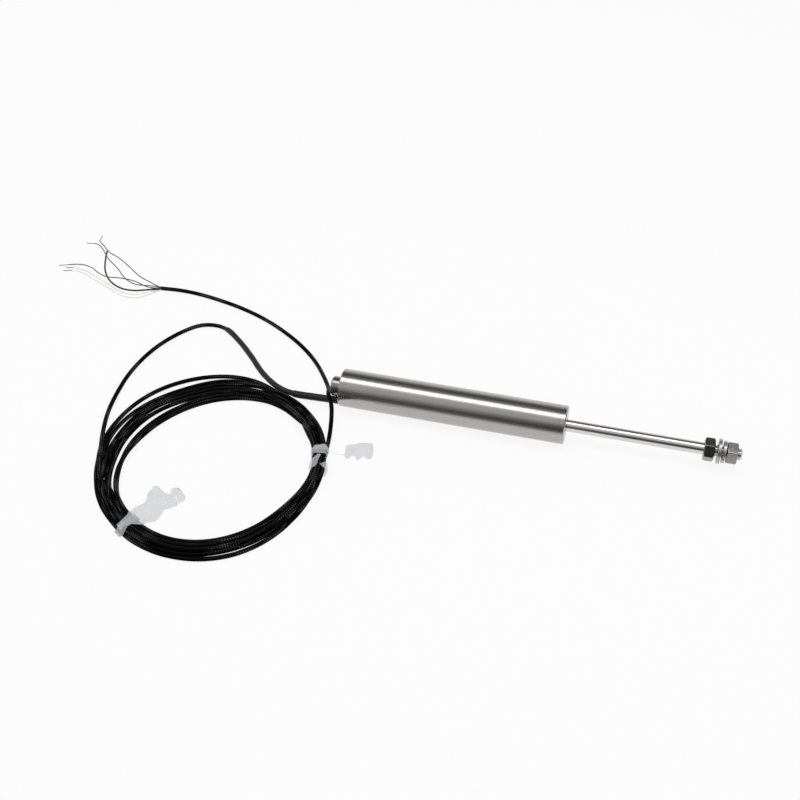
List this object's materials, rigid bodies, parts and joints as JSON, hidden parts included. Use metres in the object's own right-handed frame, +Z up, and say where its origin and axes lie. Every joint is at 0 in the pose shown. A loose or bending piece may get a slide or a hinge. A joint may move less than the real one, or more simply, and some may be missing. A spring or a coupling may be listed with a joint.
{
  "type": "LVDT displacement sensor",
  "caption": "Round steel displacement sensor with a sliding push rod, clamping nuts and washers on its threaded end, and a thin black cable tied in a coil.",
  "frame": {"origin": "on the sensor's axis, at the middle of its body tube", "axes": "+X along the sensor's axis towards the push rod's threaded end, +Z up from the surface the sensor and its coil lie on"},
  "size_m": [0.389, 0.2263, 0.019],
  "materials": {
    "body_steel": "satin ground",
    "rod_steel": "ground",
    "hardware_steel": "bright plated",
    "bronze": "machined",
    "copper": "enamelled wire",
    "magnetic_alloy": "annealed",
    "former_plastic": "moulded",
    "guide_plastic": "turned",
    "board": "laminate",
    "black_rubber": "satin",
    "cable_jacket": "slightly glossy",
    "tie_film": "translucent",
    "screen": "twisted",
    "insulation_red": "smooth",
    "insulation_blue": "smooth",
    "insulation_green": "smooth",
    "insulation_yellow": "smooth",
    "insulation_white": "smooth"
  },
  "bodies": {
    "housing": {"body_tube": "body_steel", "front_end_cap": "body_steel", "rear_end_cap": "body_steel", "front_bearing_bush": "bronze", "coil_former": "former_plastic", "primary_winding": "copper", "secondary_winding_front": "copper", "secondary_winding_rear": "copper", "magnetic_shield": "magnetic_alloy", "terminal_board": "board", "cable_grommet": "black_rubber", "relief_sleeve": "black_rubber", "long_sleeve": "black_rubber", "cable_lead": "cable_jacket", "cable_coil": "cable_jacket", "cable_tail": "cable_jacket", "tie_front": "tie_film", "tie_side": "tie_film", "screen_wire": "screen", "wire_red": "insulation_red", "wire_blue": "insulation_blue", "wire_green": "insulation_green", "wire_yellow": "insulation_yellow", "wire_white": "insulation_white"},
    "guide": {"guide_bush": "guide_plastic"},
    "rod": {"push_rod": "rod_steel", "core": "magnetic_alloy", "core_collar": "rod_steel", "inner_nut": "hardware_steel"},
    "washers": {"flat_washer": "hardware_steel", "spring_washer": "hardware_steel"},
    "outer_nut": {"outer_nut": "hardware_steel"}
  },
  "joints": [
    {"name": "rod_slide", "type": "slide", "parent": "housing", "child": "guide", "axis": [1, 0, 0], "range_m": [-0.053, 0.003]},
    {"name": "rod_spin", "type": "hinge", "parent": "guide", "child": "rod", "pos_m": [0, 0, 0], "axis": [1, 0, 0], "continuous": true},
    {"name": "outer_nut_travel", "type": "slide", "parent": "rod", "child": "washers", "axis": [1, 0, 0], "range_m": [-0.001, 0.002]},
    {"name": "outer_nut_turn", "type": "hinge", "parent": "washers", "child": "outer_nut", "pos_m": [0.135, 0, 0], "axis": [1, 0, 0], "range_deg": [-360, 720]}
  ],
  "couplings": [
    {"joint": "outer_nut_turn", "follows": "outer_nut_travel", "rad_per_m": 6283.2}
  ]
}
